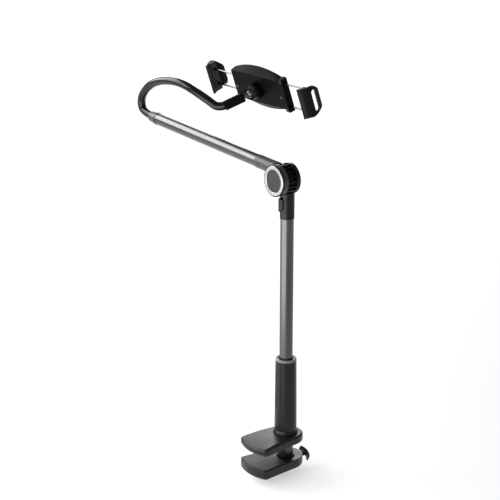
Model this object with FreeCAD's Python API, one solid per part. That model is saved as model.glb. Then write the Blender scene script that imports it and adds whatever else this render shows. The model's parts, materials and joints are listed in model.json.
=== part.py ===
import FreeCAD, Part
import math
import os
from FreeCAD import Placement, Rotation, Vector

# Clamp-on arm that holds a phone or tablet: desk clamp, mast, hinged arm, bendable neck, sprung holder.
# Frame: +Z up, Z is the mast's axis, and the origin is where it meets the desk top under the upper jaw.
# The hinge drum faces -Y and the arm points along -X. Millimetres throughout.

# Running and sliding fits, and the gap left between pieces of different bodies
fit = 0.05
slack = 0.3

# Clamp
jaw_rear_radius = 29.0
jaw_reach = 76.0
jaw_half_width = 35.0
jaw_corner = 8.0
upper_jaw_thick = 14.0
upper_jaw_tip_drop = 5.5
upper_jaw_flat = 21.0
lower_jaw_thick = 17.0
jaw_top_round = 4.0
jaw_edge_round = 2.5
lower_jaw_round = 5.0
pad_inset = 2.5
pad_edge_gap = 0.6
pad_proud = 2.0
pad_sunk = 1.0
lower_pad_proud = 1.0
pad_rear = 20.0
clamp_gap = 24.0
column_radius = 12.5
column_wall = 3.5
column_flange_radius = 19.0
column_flange_thick = 4.0
collar_radius = 15.5
collar_height = 3.0
keyway_width = 7.0
keyway_depth = 1.5
column_bottom = -49.0

# Thumb screw at the rear of the lower jaw
wing_drop = 10.0
wing_screw_radius = 3.0
wing_standoff = 13.0
wing_span = 27.0
wing_bow = 6.0
wing_thick = 5.0
wing_height = 9.0
wing_tip_thick = 3.0
wing_tip_slant = 1.0
wing_edge_round = 1.2
wing_roll = 30.0
wing_hub_radius = 4.0
wing_hub_gap = 1.5
insert_radius = 4.5
insert_length = 8.0

# Base sleeve and mast
tube_radius = 11.0
tube_wall = 1.5
sleeve_height = 132.0
sleeve_top_radius = 17.3
sleeve_foot_radius = 18.5
foot_flange_radius = 20.5
foot_flange_thick = 4.5
sleeve_bore = 13.5
sleeve_ring_height = 4.0
bush_height = 14.0
flute_count = 12
flute_start = -28.2
flute_width = 6.4
flute_depth = 0.7
flute_end_middle = 43.0
flute_end_swing = 20.0
flute_swing_from = -27.2
mast_bottom = 27.0
mast_plug_length = 22.0
swivel_bolt_radius = 4.0
swivel_head_radius = 7.0
swivel_head_height = 5.0
thrust_washer_thick = 1.5
neck_radius = 12.0
neck_spigot = 26.0
flange_screw_circle = 15.6
flange_screw_radius = 1.8
flange_screw_count = 4
flange_screw_start = 45.0
flange_screw_bite = 9.0

# Hinge drum: stations along its axis count from the mast's centre out of its face
hinge_height = 451.0
neck_bottom = hinge_height - 65.0
neck_rear_top = hinge_height - 19.0
drum_radius = 25.3
flange_rear = -8.0
flange_front = -1.0
ratchet_tip_radius = 24.2
ratchet_root_radius = 20.8
ratchet_bore = 16.0
ratchet_rim = 1.5
tooth_count = 18
gullet_root_width = 4.0
gullet_tip_width = 6.0
hub_radius = 12.0
hub_recess = 4.0
spigot_wall = 2.8
spigot_length = 14.0
head_rear = 17.0
head_floor = 19.3
head_front = 25.5
nut_recess_radius = 12.5
rim_front = 27.5
rim_radius = 25.7
rim_step = 0.8
trim_outer = 23.9
trim_inner = 18.4
trim_proud = 0.6
cap_proud = 0.5
pivot_radius = 5.0
pivot_head_radius = 9.0
pivot_nut_flats = 15.0
pivot_nut_height = 4.0
washer_radius = 11.0
washer_thick = 0.8
parting_width = 0.8
parting_depth = 0.6

# Release latch on the neck
latch_bottom = hinge_height - 52.0
latch_height = 23.0
latch_width = 11.0
latch_proud = 5.0
latch_side = 1.8
latch_crest = 2.4
latch_point = 4.0
latch_travel = 5.0
stem_width = 5.0
stem_inset = 7.5
stem_depth = 9.0
pawl_width = 3.0
pawl_near = 7.5
pawl_far = 2.5
pawl_clearance = 0.4
latch_spring_radius = 2.2
latch_spring_wall = 0.6
latch_spring_seat = hinge_height - 63.0

# Arm
arm_rise_angle = 3.2
arm_side = 12.0
arm_offset = 15.2
socket_radius = 11.5
socket_start = 12.0
socket_end = 58.0
arm_tube_radius = 10.75
arm_tube_end = 347.0
arm_end = arm_tube_end + 24.0
ferrule_end_radius = 9.4
tube_in_socket = 30.0
ferrule_in_tube = 18.0

# Bendable neck: the route's middle points were chosen by hand and count from the arm's end
neck_tube_radius = 7.25
neck_core_radius = 4.0
neck_in_ferrule = 15.0
neck_in_sleeve = 10.0
neck_run_out = 10.0
bend_share = 0.45
neck_route = [
    (-25.6, 0.0, 1.4),
    (-33.6, -1.0, 21.1),
    (-18.6, -3.0, 42.1),
    (12.4, -5.0, 61.6),
    (54.4, -7.0, 73.6),
    (102.4, -6.0, 76.6),
    (140.4, -1.0, 65.6),
    (165.4, 6.0, 54.6),
]

# Holder: its own frame has p across, q up and r out of the back, from the back face of the device.
# The frame's place counts from the arm's end.
holder_x = 213.4
holder_y = 83.7
holder_z = 77.3
holder_lean = 19.0
ball_standoff = 27.0
ball_radius = 8.0
stud_tilt = 32.9
stud_tilt_side = 197.7
stud_neck_radius = 3.4
sleeve_start = 13.0
sleeve_length = 36.0
end_sleeve_radius = 8.25
end_sleeve_taper = 0.6
stud_shank_radius = 3.0
stud_shank_length = 11.0
stud_clip_radius = 5.0
stud_clip_thick = 1.2
seat_radius = 10.4
seat_bottom = 19.3
seat_top = 29.75
boss_radius = 10.8
boss_top = 19.0
nut_radius = 14.0
nut_bottom = 12.6
nut_wide_top = 22.0
nut_top = 31.6
nut_lip_radius = 9.3
nut_cone_radius = 12.5
nut_groove_radius = 3.2
nut_rib_count = 10
nut_rib_depth = 1.6

tray_half_length = 66.0
tray_end_half_height = 27.0
tray_crown_half_height = 38.0
tray_back_half_height = 25.0
tray_cover_front = 0.6
tray_cover_back = 2.8
tray_back_face = 12.0
tray_wall = 2.2
bracket_thick = 8.0
bracket_half_height = 30.0
bracket_back = 13.0
bracket_screw_height = 25.4
bracket_round = 3.0
tongue_length = 8.0
tongue_half_height = 9.0
tray_screw_p = tray_half_length - 6.0
tray_screw_q = -4.4
tray_pad_inset = 5.0
tray_pad_sunk = 0.7
small_screw_radius = 1.5
small_screw_sunk = 0.2
small_screw_bite = 1.0
small_recess_radius = 0.7
small_recess_depth = 1.4
rod_radius = 1.5
rod_plane = 6.3
left_rod_spread = 13.6
right_rod_spread = 20.7
rod_inner_end = 12.0
rod_stop_radius = 3.0
rod_stop_length = 5.0
spring_radius = 2.5
spring_inner = 1.8

# Corners of the jaw's outer section, as p, r and the corner's radius
jaw_section = [
    (tray_half_length + 59.0, 22.8, 0.0),
    (tray_half_length + 72.6, 5.4, 21.0),
    (tray_half_length + 70.4, -12.0, 7.0),
    (tray_half_length + 60.5, -14.2, 0.0),
]
# Corners of the jaw's side view, as r, q and the corner's radius
jaw_side = [
    (26.0, 26.0, 3.0),
    (-15.5, 26.0, 9.0),
    (-15.5, -26.0, 17.0),
    (26.0, -26.0, 3.0),
]
jaw_wall = 3.2
jaw_pad_thick = 2.0
jaw_pad_inset = 1.5
jaw_half_height = 26.0
jaw_cut_start = tray_half_length + 34.0
jaw_cut_length = 60.0
slot_length = 38.0
slot_width = 9.0
rod_boss_radius = 3.2
rod_boss_start = tray_half_length + 56.0
rod_boss_floor = 1.5
rod_outer_end = tray_half_length + 68.0

X = Vector(1, 0, 0)
Y = Vector(0, 1, 0)
Z = Vector(0, 0, 1)
origin = Vector(0, 0, 0)


# Frames that the pieces are drawn in

def moved(shape, *placements):
    """A copy of the shape carried through each placement, the innermost first."""
    result = shape.copy()
    for placement in placements:
        result.Placement = placement.multiply(result.Placement)
    return result


drum_frame = Placement(Vector(0, 0, hinge_height), Rotation(X, 90))
arm_axis_height = hinge_height + arm_offset / math.cos(math.radians(arm_rise_angle))
arm_frame = Placement(Vector(0, -arm_side, arm_axis_height), Rotation(Y, -90 + arm_rise_angle))
arm_tip = arm_frame.multVec(Vector(0, 0, arm_end))
holder_frame = Placement(arm_tip + Vector(holder_x, holder_y, holder_z), Rotation(X, 90 + holder_lean))
ball_centre = holder_frame.multVec(Vector(0, 0, ball_standoff))
stud_frame = Placement(
    ball_centre,
    holder_frame.Rotation.multiply(Rotation(Z, stud_tilt_side)).multiply(Rotation(Y, stud_tilt)))


# Shapes that the pieces are made of

def cylinder(radius, bottom, top, x=0.0, y=0.0):
    return Part.makeCylinder(radius, top - bottom, Vector(x, y, bottom))


def ring(outer, inner, bottom, top):
    return cylinder(outer, bottom, top).cut(cylinder(inner, bottom - 1, top + 1))


def box(x0, x1, y0, y1, z0, z1):
    return Part.makeBox(x1 - x0, y1 - y0, z1 - z0, Vector(x0, y0, z0))


def cone(radius0, radius1, bottom, top):
    return Part.makeCone(radius0, radius1, top - bottom, Vector(0, 0, bottom))


def revolved(profile):
    """A solid turned about Z from points of radius and height."""
    points = [Vector(radius, 0, height) for radius, height in profile]
    face = Part.Face(Part.makePolygon(points + [points[0]]))
    return face.revolve(origin, Z, 360)


def prism(wire, bottom, top):
    face = Part.Face(wire)
    face.translate(Vector(0, 0, bottom))
    return face.extrude(Vector(0, 0, top - bottom))


def around(shape, count, start=0.0):
    """Copies of the shape spread evenly about Z."""
    return [moved(shape, Placement(origin, Rotation(Z, start + 360.0 * k / count))) for k in range(count)]


def hexagon(across_flats, bottom, top):
    corner = across_flats / math.sqrt(3)
    points = [Vector(corner * math.cos(math.radians(60 * k)), corner * math.sin(math.radians(60 * k)), 0)
              for k in range(6)]
    return prism(Part.makePolygon(points + [points[0]]), bottom, top)


def corner_arc(before, corner, after, radius):
    """Start, middle and end of the arc that rounds a corner."""
    back = (before - corner).normalize()
    ahead = (after - corner).normalize()
    half = back.getAngle(ahead) / 2
    reach = radius / math.tan(half)
    bisector = (back + ahead).normalize()
    centre = corner + bisector * (radius / math.sin(half))
    return corner + back * reach, centre - bisector * radius, corner + ahead * reach


def path_edges(corners):
    """Straight runs and tangent arcs through points with a radius at each inner one."""
    edges = []
    here = corners[0][0]
    for k in range(1, len(corners) - 1):
        corner, radius = corners[k]
        if radius <= 0:
            edges.append(Part.makeLine(here, corner))
            here = corner
            continue
        start, middle, finish = corner_arc(corners[k - 1][0], corner, corners[k + 1][0], radius)
        if (start - here).Length > 1e-6:
            edges.append(Part.makeLine(here, start))
        edges.append(Part.Arc(start, middle, finish).toShape())
        here = finish
    edges.append(Part.makeLine(here, corners[-1][0]))
    return edges


def rounded(points):
    """A closed outline with rounded corners from points of x, y and radius."""
    corners = [(Vector(x, y, 0), radius) for x, y, radius in points]
    first = (corners[0][0] + corners[1][0]) / 2
    order = corners[1:] + corners[:1]
    return Part.Wire(path_edges([(first, 0)] + order + [(first, 0)]))


def side_step(points, distance):
    """An open line of x, y and radius moved sideways to its right, with its radii kept about their centres."""
    lines = []
    for (x0, y0, _), (x1, y1, _) in zip(points, points[1:]):
        length = math.hypot(x1 - x0, y1 - y0)
        dx = (x1 - x0) / length
        dy = (y1 - y0) / length
        lines.append((x0 + dy * distance, y0 - dx * distance, dx, dy))
    result = [(lines[0][0], lines[0][1], 0.0)]
    for k in range(1, len(lines)):
        ax, ay, adx, ady = lines[k - 1]
        bx, by, bdx, bdy = lines[k]
        share = ((bx - ax) * bdy - (by - ay) * bdx) / (adx * bdy - ady * bdx)
        result.append((ax + adx * share, ay + ady * share, points[k][2] - distance))
    x1, y1, dx, dy = lines[-1]
    last = math.hypot(points[-1][0] - points[-2][0], points[-1][1] - points[-2][1])
    result.append((x1 + dx * last, y1 + dy * last, 0.0))
    return result


def band(points, near, far):
    """A strip between two sideways steps of an open line."""
    outer = [(Vector(x, y, 0), radius) for x, y, radius in side_step(points, near)]
    inner = [(Vector(x, y, 0), radius) for x, y, radius in side_step(points, far)]
    edges = path_edges(outer) + path_edges(inner)
    edges.append(Part.makeLine(outer[0][0], inner[0][0]))
    edges.append(Part.makeLine(outer[-1][0], inner[-1][0]))
    return Part.Wire(Part.__sortEdges__(edges))


def round_off(shape, radius, chosen):
    """The shape with every edge that the test picks rounded."""
    edges = [edge for edge in shape.Edges if chosen(edge)]
    return shape.makeFillet(radius, edges)


def within(edge, low, high):
    """Whether an edge lies between two heights."""
    bounds = edge.BoundBox
    return bounds.ZMin > low - 0.01 and bounds.ZMax < high + 0.01


# Clamp, with the desk toward -Y

upper_jaw_bottom = pad_proud
upper_jaw_top = upper_jaw_bottom + upper_jaw_thick
lower_pad_top = -clamp_gap
lower_jaw_top = lower_pad_top - lower_pad_proud
lower_jaw_bottom = lower_jaw_top - lower_jaw_thick
flange_top = upper_jaw_bottom + column_flange_thick
sleeve_top = upper_jaw_top + sleeve_height
screw_reach = foot_flange_thick + flange_screw_bite
wing_height_on_axis = lower_jaw_top - wing_drop
wing_frame = Placement(
    Vector(0, 0, wing_height_on_axis),
    Rotation(X, -90).multiply(Rotation(Z, wing_roll)))


def jaw_outline(inset=0.0):
    """A jaw's plan: round behind, straight sides that spread, and a front bowed about the mast."""
    corner = jaw_corner - inset
    across = jaw_half_width - jaw_corner
    away = jaw_reach - jaw_corner
    bearing = math.asin(across / away)
    side_turn = math.acos((jaw_rear_radius - jaw_corner) / away) + bearing - math.pi / 2
    side = Vector(math.cos(side_turn), math.sin(side_turn), 0)
    front = Vector(math.sin(bearing), -math.cos(bearing), 0)
    centre = front * away
    middle = side + front
    middle.normalize()
    right = [
        front * (jaw_reach - inset),
        centre + middle * corner,
        centre + side * corner,
        side * (jaw_rear_radius - inset),
    ]
    left = [Vector(-point.x, point.y, 0) for point in right]
    rear = Vector(0, jaw_rear_radius - inset, 0)
    bow = Vector(0, inset - jaw_reach, 0)
    return Part.Wire([
        Part.Arc(right[0], right[1], right[2]).toShape(),
        Part.makeLine(right[2], right[3]),
        Part.Arc(right[3], rear, left[3]).toShape(),
        Part.makeLine(left[3], left[2]),
        Part.Arc(left[2], left[1], left[0]).toShape(),
        Part.Arc(left[0], bow, right[0]).toShape(),
    ])


def pad_outline(inset):
    """The flat of a jaw that faces the desk, without its rear."""
    flat = Part.Face(jaw_outline(inset))
    front = box(-jaw_half_width, jaw_half_width, -jaw_reach, -pad_rear, -1, 1)
    return flat.common(front)


def pad_block(inset, bottom, top):
    face = pad_outline(inset)
    face.translate(Vector(0, 0, bottom))
    return face.extrude(Vector(0, 0, top - bottom))


def upper_jaw():
    plan = prism(jaw_outline(), upper_jaw_bottom, upper_jaw_top)
    side = jaw_half_width + 5
    drop_start = Vector(0, -upper_jaw_flat, upper_jaw_top)
    run = jaw_reach + 2 - upper_jaw_flat
    arc_radius = (run * run + upper_jaw_tip_drop * upper_jaw_tip_drop) / (2 * upper_jaw_tip_drop)
    half_run = run / 2
    half_drop = arc_radius - math.sqrt(arc_radius * arc_radius - half_run * half_run)
    middle = Vector(0, -upper_jaw_flat - half_run, upper_jaw_top - half_drop)
    tip = Vector(0, -upper_jaw_flat - run, upper_jaw_top - upper_jaw_tip_drop)
    rear = Vector(0, side, upper_jaw_top)
    profile = Part.Wire([
        Part.makeLine(rear, drop_start),
        Part.Arc(drop_start, middle, tip).toShape(),
        Part.makeLine(tip, Vector(0, tip.y, upper_jaw_bottom)),
        Part.makeLine(Vector(0, tip.y, upper_jaw_bottom), Vector(0, side, upper_jaw_bottom)),
        Part.makeLine(Vector(0, side, upper_jaw_bottom), rear),
    ])
    face = Part.Face(profile)
    face.translate(Vector(-side, 0, 0))
    body = plan.common(face.extrude(Vector(2 * side, 0, 0)))
    tip_top = upper_jaw_top - upper_jaw_tip_drop
    body = round_off(body, jaw_top_round, lambda e: within(e, tip_top - 0.5, upper_jaw_top) and on_rim(e))
    body = round_off(body, jaw_edge_round, lambda e: within(e, upper_jaw_bottom, upper_jaw_bottom))
    body = body.cut(pad_block(pad_inset, upper_jaw_bottom - 1, upper_jaw_bottom + pad_sunk))
    body = body.cut(cylinder(column_flange_radius, upper_jaw_bottom - 1, flange_top))
    body = body.cut(cylinder(swivel_bolt_radius + fit, 0, upper_jaw_top + 1))
    for screw in around(cylinder(flange_screw_radius, 0, upper_jaw_top + 1, flange_screw_circle),
                        flange_screw_count, flange_screw_start):
        body = body.cut(screw)
    return body


def on_rim(edge):
    """Whether an edge follows the jaw's outline, not a line across its top."""
    bounds = edge.BoundBox
    across = bounds.XMax - bounds.XMin
    return not (bounds.YLength < 0.01 and across > jaw_corner)


def upper_pad():
    return pad_block(pad_inset, upper_jaw_bottom - pad_proud, upper_jaw_bottom + pad_sunk)


def lower_jaw():
    body = prism(jaw_outline(), lower_jaw_bottom, lower_jaw_top)
    body = round_off(body, lower_jaw_round, lambda e: within(e, lower_jaw_bottom, lower_jaw_bottom))
    body = round_off(body, 1.0, lambda e: within(e, lower_jaw_top, lower_jaw_top))
    body = body.cut(pad_block(pad_inset - pad_edge_gap, lower_jaw_top - pad_sunk, lower_jaw_top + 1))
    body = body.cut(cylinder(column_radius + fit, lower_jaw_bottom - 1, lower_jaw_top + 1))
    insert_start = jaw_rear_radius - insert_length
    body = body.cut(moved(cylinder(insert_radius, insert_start, jaw_rear_radius + 1), wing_frame))
    body = body.cut(moved(cylinder(wing_screw_radius + slack, 0, jaw_rear_radius), wing_frame))
    return body


def lower_pad():
    return pad_block(pad_inset, lower_jaw_top - pad_sunk, lower_pad_top)


def guide_collar():
    return ring(collar_radius, column_radius + fit, lower_jaw_top, lower_jaw_top + collar_height)


def column():
    body = cylinder(column_radius, column_bottom, flange_top)
    body = body.fuse(cylinder(column_flange_radius, upper_jaw_bottom, flange_top))
    body = body.cut(cylinder(column_radius - column_wall, column_bottom - 1, flange_top + 1))
    reach = column_radius - keyway_depth
    keyway = box(-keyway_width / 2, keyway_width / 2, reach, column_radius + 1,
                 column_bottom - 1, lower_jaw_top + clamp_gap - collar_height)
    body = body.cut(keyway)
    body = round_off(body, 0.8, lambda e: within(e, column_bottom, column_bottom) and
                     e.BoundBox.DiagonalLength > 2 * column_radius)
    for screw in around(flange_screw(), flange_screw_count, flange_screw_start):
        body = body.cut(screw)
    return body


def flange_screw():
    """One countersunk screw from under the column's flange up into the sleeve."""
    head_radius = 1.8 * flange_screw_radius
    head_height = head_radius - flange_screw_radius
    shank = cylinder(flange_screw_radius, upper_jaw_bottom, upper_jaw_top + screw_reach)
    screw = shank.fuse(cone(head_radius, flange_screw_radius, upper_jaw_bottom, upper_jaw_bottom + head_height))
    screw.translate(Vector(flange_screw_circle, 0, 0))
    return screw


def flange_screws():
    return Part.makeCompound(around(flange_screw(), flange_screw_count, flange_screw_start))


def base_sleeve():
    foot_top = upper_jaw_top + foot_flange_thick
    shoulder = sleeve_top - sleeve_ring_height
    body = revolved([
        (sleeve_bore, upper_jaw_top),
        (foot_flange_radius, upper_jaw_top),
        (foot_flange_radius, foot_top - 1.5),
        (sleeve_foot_radius + 1.0, foot_top),
        (sleeve_foot_radius, foot_top + 1.5),
        (sleeve_top_radius, shoulder),
        (sleeve_bore, shoulder),
    ])
    taper = math.degrees(math.atan2(sleeve_foot_radius - sleeve_top_radius, shoulder - foot_top))
    for k in range(flute_count):
        angle = flute_start + 360.0 * k / flute_count
        end = flute_end_middle - flute_end_swing * math.sin(math.radians(angle - flute_swing_from))
        body = body.cut(flute(angle, end, shoulder, taper))
    for screw in around(cylinder(flange_screw_radius, 0, upper_jaw_top + screw_reach, flange_screw_circle),
                        flange_screw_count, flange_screw_start):
        body = body.cut(screw)
    return body


def flute(angle, end, top, taper):
    """A shallow flat groove down the sleeve with a round lower end."""
    floor = sleeve_top_radius - flute_depth
    half = flute_width / 2
    groove = box(floor, floor + 6, -half, half, end + half, top + 2)
    tip = Part.makeCylinder(half, 6, Vector(floor, 0, end + half), X)
    cutter = groove.fuse(tip)
    cutter.rotate(Vector(floor, 0, top), Y, -taper)
    cutter.rotate(origin, Z, angle)
    return cutter


def sleeve_ring():
    bush_bottom = sleeve_top - sleeve_ring_height - bush_height
    return revolved([
        (tube_radius + fit, bush_bottom),
        (sleeve_bore, bush_bottom),
        (sleeve_bore, sleeve_top - sleeve_ring_height),
        (sleeve_top_radius, sleeve_top - sleeve_ring_height),
        (sleeve_top_radius, sleeve_top - 0.8),
        (sleeve_top_radius - 0.8, sleeve_top),
        (sleeve_top_radius - 2.6, sleeve_top),
        (tube_radius + fit, sleeve_top - 2.2),
    ])


def lower_bush():
    bottom = upper_jaw_top + foot_flange_thick
    return ring(sleeve_bore, tube_radius + fit, mast_bottom, bottom + bush_height)


# Thumb screw

def wing_screw():
    tip = column_radius - keyway_depth + slack
    return cylinder(wing_screw_radius, tip, jaw_rear_radius + wing_standoff)


def screw_insert():
    start = jaw_rear_radius - insert_length
    return ring(insert_radius, wing_screw_radius + fit, start, jaw_rear_radius - 0.5)


def wing_handle():
    """A crescent whose ends bend toward the jaw, on a round stem."""
    crown = jaw_rear_radius + wing_standoff + wing_thick
    half = wing_span / 2
    low = crown - wing_bow
    outer = Part.Arc(Vector(-half, 0, low), Vector(0, 0, crown), Vector(half, 0, low)).toShape()
    inset = half - wing_tip_slant
    under = low - wing_tip_thick
    trough = Vector(0, 0, crown - wing_thick)
    inner = Part.Arc(Vector(-inset, 0, under), trough, Vector(inset, 0, under)).toShape()
    ends = [
        Part.makeLine(Vector(-half, 0, low), Vector(-inset, 0, under)),
        Part.makeLine(Vector(half, 0, low), Vector(inset, 0, under)),
    ]
    face = Part.Face(Part.Wire(Part.__sortEdges__([outer, inner] + ends)))
    face.translate(Vector(0, -wing_height / 2, 0))
    wing = face.extrude(Vector(0, wing_height, 0))
    wing = wing.makeFillet(wing_edge_round, wing.Edges)
    stem = cylinder(wing_hub_radius, jaw_rear_radius + wing_hub_gap, crown - wing_thick / 2)
    bore = cylinder(wing_screw_radius, 0, jaw_rear_radius + wing_standoff)
    return wing.fuse(stem).removeSplitter().cut(bore)


# Mast

def mast_tube():
    return ring(tube_radius, tube_radius - tube_wall, mast_bottom, neck_bottom)


def mast_plug():
    body = cylinder(tube_radius - slack, upper_jaw_top + slack, mast_bottom)
    body = body.fuse(cylinder(tube_radius - tube_wall, mast_bottom, mast_bottom + mast_plug_length))
    return body.cut(cylinder(swivel_bolt_radius, 0, mast_bottom + mast_plug_length - 4))


def swivel_bolt():
    washer_bottom = flange_top - slack - thrust_washer_thick
    head_bottom = washer_bottom - swivel_head_height
    body = cylinder(swivel_bolt_radius, washer_bottom, mast_bottom + mast_plug_length - 6)
    body = body.fuse(cylinder(swivel_head_radius, head_bottom, washer_bottom))
    return body.cut(hexagon(6.0, head_bottom - 1, head_bottom + 3.5))


def thrust_washer():
    top = flange_top - slack
    return ring(swivel_head_radius + 1, swivel_bolt_radius, top - thrust_washer_thick, top)


# Hinge drum, drawn with Z out of its face and Y up

hub_front = head_rear - slack - washer_thick
latch_top = latch_bottom + latch_height
stem_bottom = latch_bottom + stem_inset
stem_top = latch_top - stem_inset
pawl_top = hinge_height - ratchet_tip_radius - pawl_clearance


def about_hinge(radius, rear, front):
    """A cylinder on the hinge's axis between two stations."""
    return moved(cylinder(radius, rear, front), drum_frame)


def joint_neck():
    flange = cylinder(drum_radius, flange_rear, flange_front)
    flange = flange.makeChamfer(0.8, [e for e in flange.Edges if within(e, flange_rear, flange_rear)])
    neck = cylinder(neck_radius, neck_bottom, hinge_height)
    neck = neck.cut(about_hinge(ratchet_tip_radius + slack, flange_front, rim_front))
    above = [
        Vector(0, -flange_rear, neck_rear_top),
        Vector(0, 2 * neck_radius, neck_rear_top - 2 * neck_radius - flange_rear),
        Vector(0, 2 * neck_radius, hinge_height + 1),
        Vector(0, -flange_rear, hinge_height + 1),
    ]
    wedge = Part.Face(Part.makePolygon(above + [above[0]]))
    wedge.translate(Vector(-2 * neck_radius, 0, 0))
    neck = neck.cut(wedge.extrude(Vector(4 * neck_radius, 0, 0)))
    hub = cylinder(hub_radius, flange_rear, hub_front)
    spigot = cylinder(tube_radius - tube_wall, neck_bottom - neck_spigot, neck_bottom)
    body = neck.fuse([moved(flange, drum_frame), moved(hub, drum_frame), spigot])
    body = body.cut(about_hinge(pivot_head_radius, flange_rear - 1, flange_rear + hub_recess))
    body = body.cut(about_hinge(pivot_radius, flange_rear - 1, hub_front + 1))
    body = body.cut(box(-parting_width / 2, parting_width / 2, -neck_radius - 1, parting_depth - neck_radius,
                        neck_bottom - 1, hinge_height))
    return body.cut(latch_pocket()).removeSplitter()


def latch_pocket():
    half_stem = stem_width / 2 + slack
    half_pawl = pawl_width / 2 + slack
    stem_room = box(-half_stem, half_stem, -neck_radius - 1, stem_depth + slack - neck_radius,
                    stem_bottom - latch_travel - slack, stem_top + slack)
    pawl_room = box(-half_pawl, half_pawl, -pawl_near - slack, slack - pawl_far,
                    stem_bottom, hinge_height - hub_radius)
    spring_room = cylinder(latch_spring_radius + slack, latch_spring_seat, stem_bottom,
                           0, -(pawl_near + pawl_far) / 2)
    return stem_room.fuse([pawl_room, spring_room])


def release_latch():
    """A pointed ridge on the neck's front with a stem that goes inside."""
    half = latch_width / 2
    crest = latch_crest / 2
    foot = -neck_radius - latch_side
    front = -neck_radius - latch_proud
    plan = [(-half, 0), (-half, foot), (-crest, front), (crest, front), (half, foot), (half, 0)]
    face = [
        (0, latch_bottom),
        (half, latch_bottom + latch_point),
        (half, latch_top - latch_point),
        (0, latch_top),
        (-half, latch_top - latch_point),
        (-half, latch_bottom + latch_point),
    ]
    plan_points = [Vector(x, y, 0) for x, y in plan]
    face_points = [Vector(x, front - 1, z) for x, z in face]
    ridge = prism(Part.makePolygon(plan_points + [plan_points[0]]), latch_bottom, latch_top)
    outline = Part.Face(Part.makePolygon(face_points + [face_points[0]]))
    ridge = ridge.common(outline.extrude(Vector(0, 1 - front, 0)))
    ridge = ridge.cut(cylinder(neck_radius + slack, latch_bottom - 1, latch_top + 1))
    stem = box(-stem_width / 2, stem_width / 2, foot, stem_depth - neck_radius, stem_bottom, stem_top)
    return ridge.fuse(stem).removeSplitter()


def ratchet_pawl():
    pawl = box(-pawl_width / 2, pawl_width / 2, -pawl_near, -pawl_far, stem_top, pawl_top)
    return pawl.makeChamfer(0.8, [e for e in pawl.Edges if within(e, pawl_top, pawl_top) and
                                  e.BoundBox.XLength < 0.01])


def latch_spring():
    spring = ring(latch_spring_radius, latch_spring_radius - latch_spring_wall, latch_spring_seat, stem_bottom)
    spring.translate(Vector(0, -(pawl_near + pawl_far) / 2, 0))
    return spring


def ratchet_ring():
    """A ring with wide gullets between narrow teeth, and a plain rim at the head."""
    rear = flange_front + slack
    body = ring(ratchet_tip_radius, ratchet_bore, rear, head_rear)
    root = gullet_root_width / 2
    tip = gullet_tip_width / 2
    reach = ratchet_tip_radius + 1
    corners = [
        Vector(ratchet_root_radius, -root, 0),
        Vector(reach, -tip, 0),
        Vector(reach, tip, 0),
        Vector(ratchet_root_radius, root, 0),
    ]
    gullet = prism(Part.makePolygon(corners + [corners[0]]), rear - 1, head_rear - ratchet_rim)
    for cutter in around(gullet, tooth_count, -90.0):
        body = body.cut(cutter)
    return moved(body, drum_frame)


def pivot_bolt():
    head = cylinder(pivot_head_radius, flange_rear + 0.4, flange_rear + hub_recess)
    shank = cylinder(pivot_radius, flange_rear + hub_recess, pivot_nut_top() + 0.6)
    socket = hexagon(6.0, flange_rear, flange_rear + 2.8)
    return moved(head.fuse(shank).removeSplitter().cut(socket), drum_frame)


def pivot_nut_top():
    return head_floor + slack + washer_thick + pivot_nut_height


def pivot_nut():
    top = pivot_nut_top()
    nut = hexagon(pivot_nut_flats, top - pivot_nut_height, top)
    return moved(nut.cut(cylinder(pivot_radius, 0, top + 1)), drum_frame)


def friction_washers():
    rear = ring(washer_radius, pivot_radius, hub_front, hub_front + washer_thick)
    floor = head_floor + slack
    front = ring(washer_radius, pivot_radius, floor, floor + washer_thick)
    return Part.makeCompound([moved(rear, drum_frame), moved(front, drum_frame)])


# Arm, drawn with Z along it; its own X points up and its Y is the frame's Y

def arm_head():
    disc = cylinder(drum_radius, head_rear, head_front)
    spigot = cylinder(ratchet_bore, head_rear - spigot_length, head_rear)
    disc = moved(disc.fuse(spigot), drum_frame)
    barrel = cylinder(socket_radius, socket_start, socket_end)
    barrel = barrel.fuse(Part.makeSphere(socket_radius, Vector(0, 0, socket_start)))
    barrel = moved(barrel, arm_frame).cut(about_hinge(ratchet_tip_radius + slack, flange_rear, head_rear))
    body = disc.fuse(barrel)
    tube_start = socket_end - tube_in_socket
    body = body.cut(moved(cylinder(arm_tube_radius, tube_start, socket_end + 1), arm_frame))
    body = body.cut(about_hinge(ratchet_bore - spigot_wall, 0, head_rear))
    body = body.cut(about_hinge(pivot_radius + fit, 0, head_front + 1))
    body = body.cut(about_hinge(nut_recess_radius, head_floor, head_front + 1))
    return body.removeSplitter()


def head_rim():
    step = head_front + rim_step
    body = cylinder(rim_radius, head_front, rim_front)
    body = body.makeFillet(0.6, [e for e in body.Edges if within(e, rim_front, rim_front)])
    body = body.cut(cylinder(trim_inner, head_front - 1, rim_front + 1))
    body = body.cut(cylinder(trim_outer, step, rim_front + 1))
    return moved(body, drum_frame)


def ring_trim():
    step = head_front + rim_step
    top = rim_front + trim_proud
    body = ring(trim_outer, trim_inner, step, top)
    body = body.makeChamfer(0.5, [e for e in body.Edges if within(e, top, top)])
    return moved(body, drum_frame)


def disc_cap():
    top = rim_front + cap_proud
    body = cylinder(trim_inner, head_front, top)
    body = body.makeFillet(0.6, [e for e in body.Edges if within(e, top, top)])
    body = body.fuse(ring(nut_recess_radius, nut_recess_radius - 1.5, head_front - 2, head_front))
    return moved(body.removeSplitter(), drum_frame)


def arm_tube():
    tube = ring(arm_tube_radius, arm_tube_radius - tube_wall, socket_end - tube_in_socket, arm_tube_end)
    return moved(tube, arm_frame)


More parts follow.
